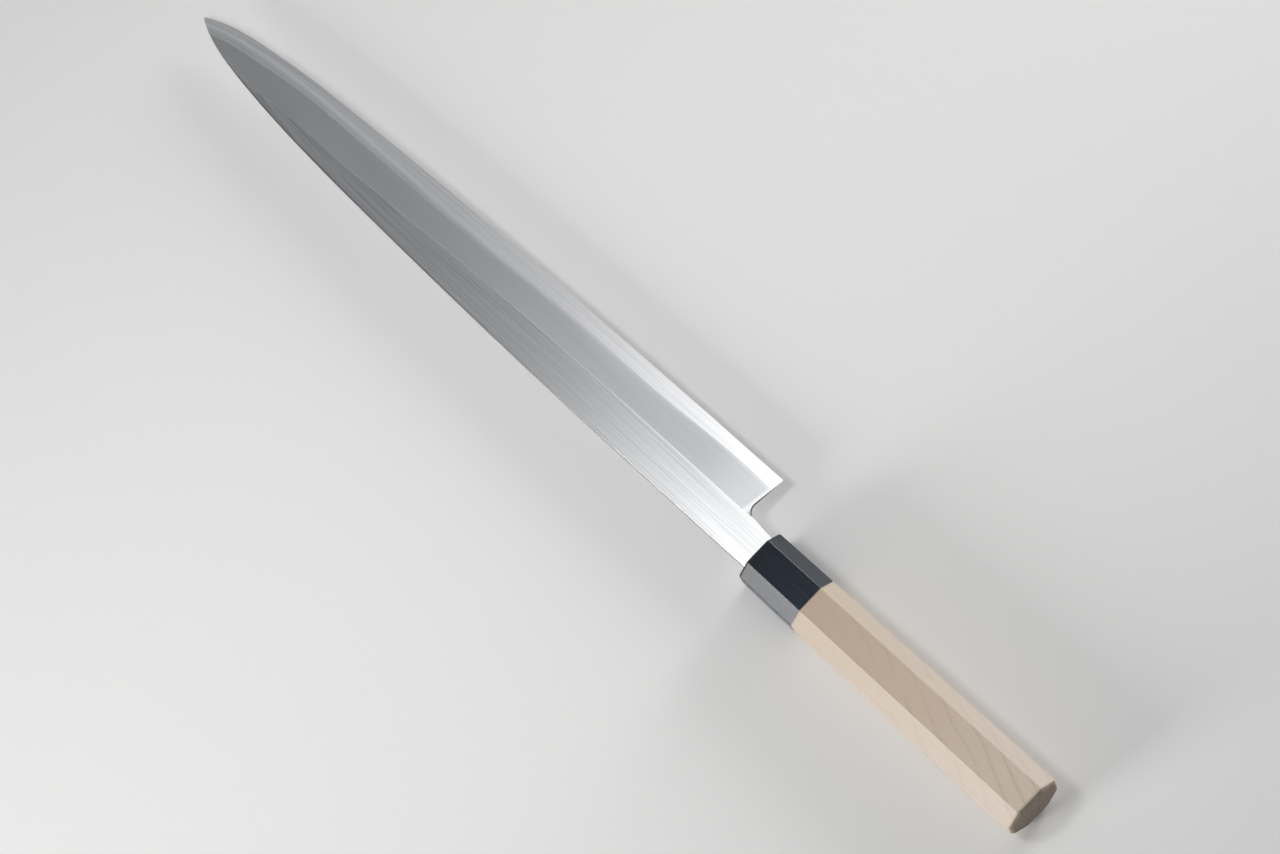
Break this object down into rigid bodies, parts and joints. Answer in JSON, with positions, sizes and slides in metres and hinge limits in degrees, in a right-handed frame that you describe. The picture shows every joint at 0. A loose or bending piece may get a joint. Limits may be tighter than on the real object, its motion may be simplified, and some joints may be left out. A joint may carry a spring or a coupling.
{
  "type": "yanagiba knife",
  "caption": "Long single-bevel slicing knife: laminated blade with hollow back, octagonal wooden handle and dark horn ferrule.",
  "frame": {"origin": "middle of the footprint, on the plane of the handle's lower facet", "axes": "+X runs from the butt to the tip, +Y from the cutting edge to the spine, +Z out of the bevelled front face"},
  "size_m": [0.4449, 0.0398, 0.0225],
  "materials": {
    "soft_iron": "ground and polished lengthwise, satin haze",
    "edge_steel": "bright polish",
    "horn": "polished dark buffalo horn",
    "magnolia": "bare, finely sanded"
  },
  "bodies": {
    "root": {"blade_iron_body": "soft_iron", "blade_edge_steel": "edge_steel", "horn_ferrule": "horn", "wooden_handle": "magnolia"}
  },
  "joints": []
}
